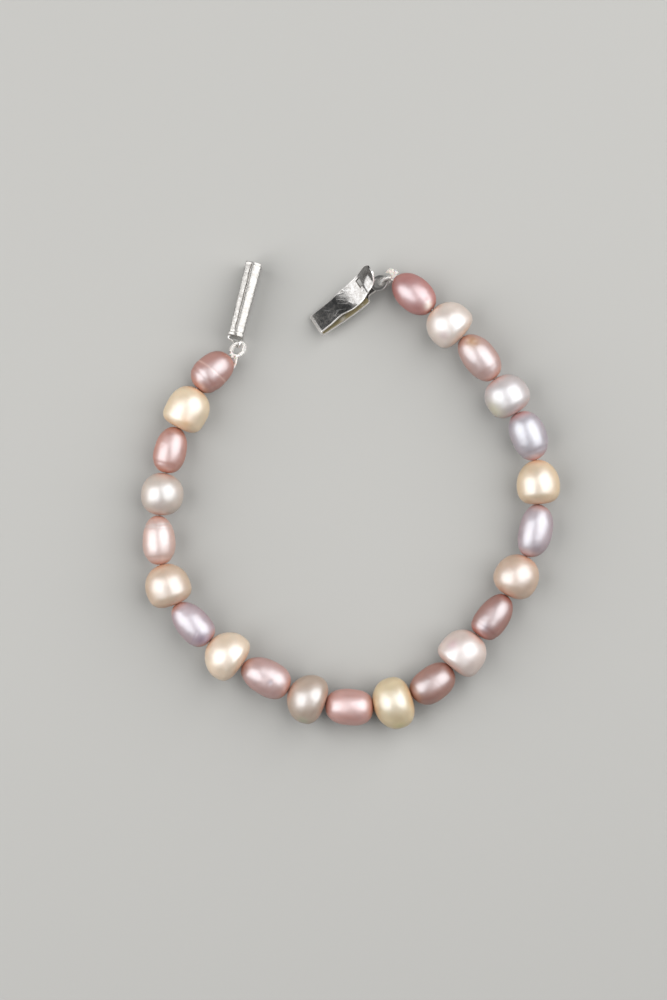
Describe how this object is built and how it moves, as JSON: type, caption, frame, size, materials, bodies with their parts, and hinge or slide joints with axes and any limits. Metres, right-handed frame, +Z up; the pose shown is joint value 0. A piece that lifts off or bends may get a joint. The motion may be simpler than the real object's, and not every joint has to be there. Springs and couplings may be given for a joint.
{
  "type": "pearl bracelet",
  "caption": "Single-strand bracelet of alternating oval and button pearls on silk, lying open, with a narrow silver box clasp and folded spring tongue.",
  "frame": {"origin": "bottom centre of the bracelet's bounding box, on the surface that it lies on", "axes": "+Z up from the surface, +Y towards the open end with the two clasp halves, +X towards the pearls on the tongue's side"},
  "size_m": [0.0692, 0.0772, 0.0086],
  "materials": {
    "pearl_mauve": "polished nacre, mauve",
    "pearl_cream": "polished nacre, cream",
    "pearl_rose": "polished nacre, rose",
    "pearl_grey_pink": "polished nacre, grey pink",
    "pearl_peach": "polished nacre, peach",
    "pearl_lilac": "polished nacre, lilac",
    "pearl_grey_beige": "polished nacre, grey beige",
    "pearl_yellow": "polished nacre, yellow",
    "pearl_white_pink": "polished nacre, white pink",
    "silver": "polished sterling silver with fine scratches",
    "silk": "twisted silk thread, white"
  },
  "bodies": {
    "root": {"pearl_01": "pearl_mauve", "pearl_02": "pearl_cream", "pearl_03": "pearl_rose", "pearl_04": "pearl_grey_pink", "pearl_05": "pearl_rose", "pearl_06": "pearl_peach", "pearl_07": "pearl_lilac", "pearl_08": "pearl_cream", "pearl_09": "pearl_lilac", "pearl_10": "pearl_grey_beige", "pearl_11": "pearl_rose", "pearl_12": "pearl_yellow", "pearl_13": "pearl_mauve", "pearl_14": "pearl_white_pink", "pearl_15": "pearl_mauve", "pearl_16": "pearl_peach", "pearl_17": "pearl_lilac", "pearl_18": "pearl_yellow", "pearl_19": "pearl_lilac", "pearl_20": "pearl_grey_pink", "pearl_21": "pearl_mauve", "pearl_22": "pearl_white_pink", "pearl_23": "pearl_mauve", "silk_thread": "silk", "tube_gimp_loop": "silver", "tongue_gimp_loop": "silver", "clasp_tube": "silver", "clasp_tongue": "silver"}
  },
  "joints": []
}
